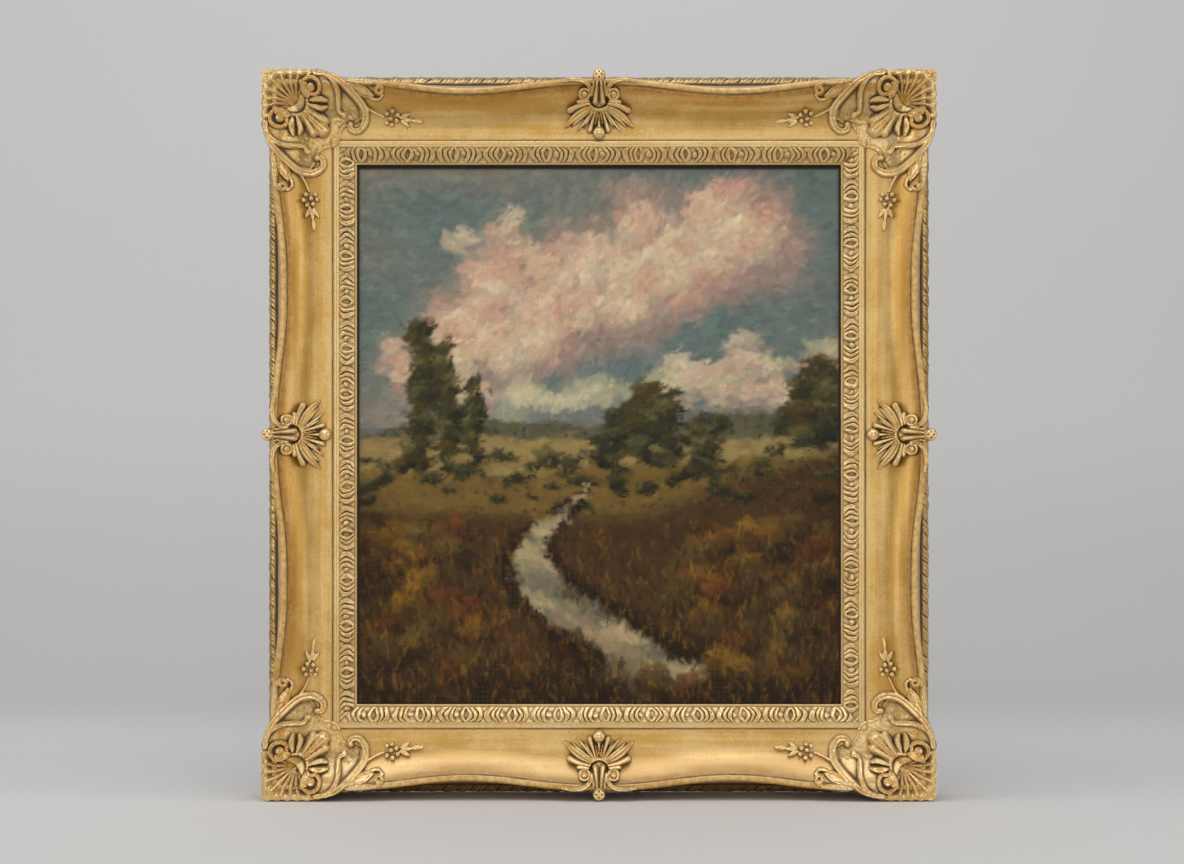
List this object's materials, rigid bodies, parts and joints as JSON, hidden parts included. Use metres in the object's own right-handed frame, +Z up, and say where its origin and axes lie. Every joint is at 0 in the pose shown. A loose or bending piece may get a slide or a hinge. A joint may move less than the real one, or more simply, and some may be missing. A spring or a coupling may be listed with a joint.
{
  "type": "framed oil painting",
  "caption": "Landscape oil painting on stretched canvas in a gilt swept frame with cast shell corners and palmette centres.",
  "frame": {"origin": "on the flat back of the top rail, at its centre, where the frame lies against the wall", "axes": "+Z up the picture, +Y into the wall, -Y towards the viewer, +X to the viewer's right"},
  "size_m": [0.613, 0.0693, 0.664],
  "materials": {
    "gilt_rail": "worn satin gilding over red bole, on wood",
    "gilt_slip": "worn satin gilding over red bole, on wood",
    "gilt_casting": "worn satin gilding on cast composition",
    "oil_paint": "oil paint on primed canvas, thin old varnish",
    "pine": "bare planed pine"
  },
  "bodies": {
    "root": {"rail_top": "gilt_rail", "rail_right": "gilt_rail", "rail_bottom": "gilt_rail", "rail_left": "gilt_rail", "slip_top": "gilt_slip", "slip_right": "gilt_slip", "slip_bottom": "gilt_slip", "slip_left": "gilt_slip", "corner_ornament_1": "gilt_casting", "corner_ornament_2": "gilt_casting", "corner_ornament_3": "gilt_casting", "corner_ornament_4": "gilt_casting", "centre_ornament_1": "gilt_casting", "centre_ornament_2": "gilt_casting", "centre_ornament_3": "gilt_casting", "centre_ornament_4": "gilt_casting", "canvas": "oil_paint", "stretcher_top": "pine", "stretcher_right": "pine", "stretcher_bottom": "pine", "stretcher_left": "pine"}
  },
  "joints": []
}
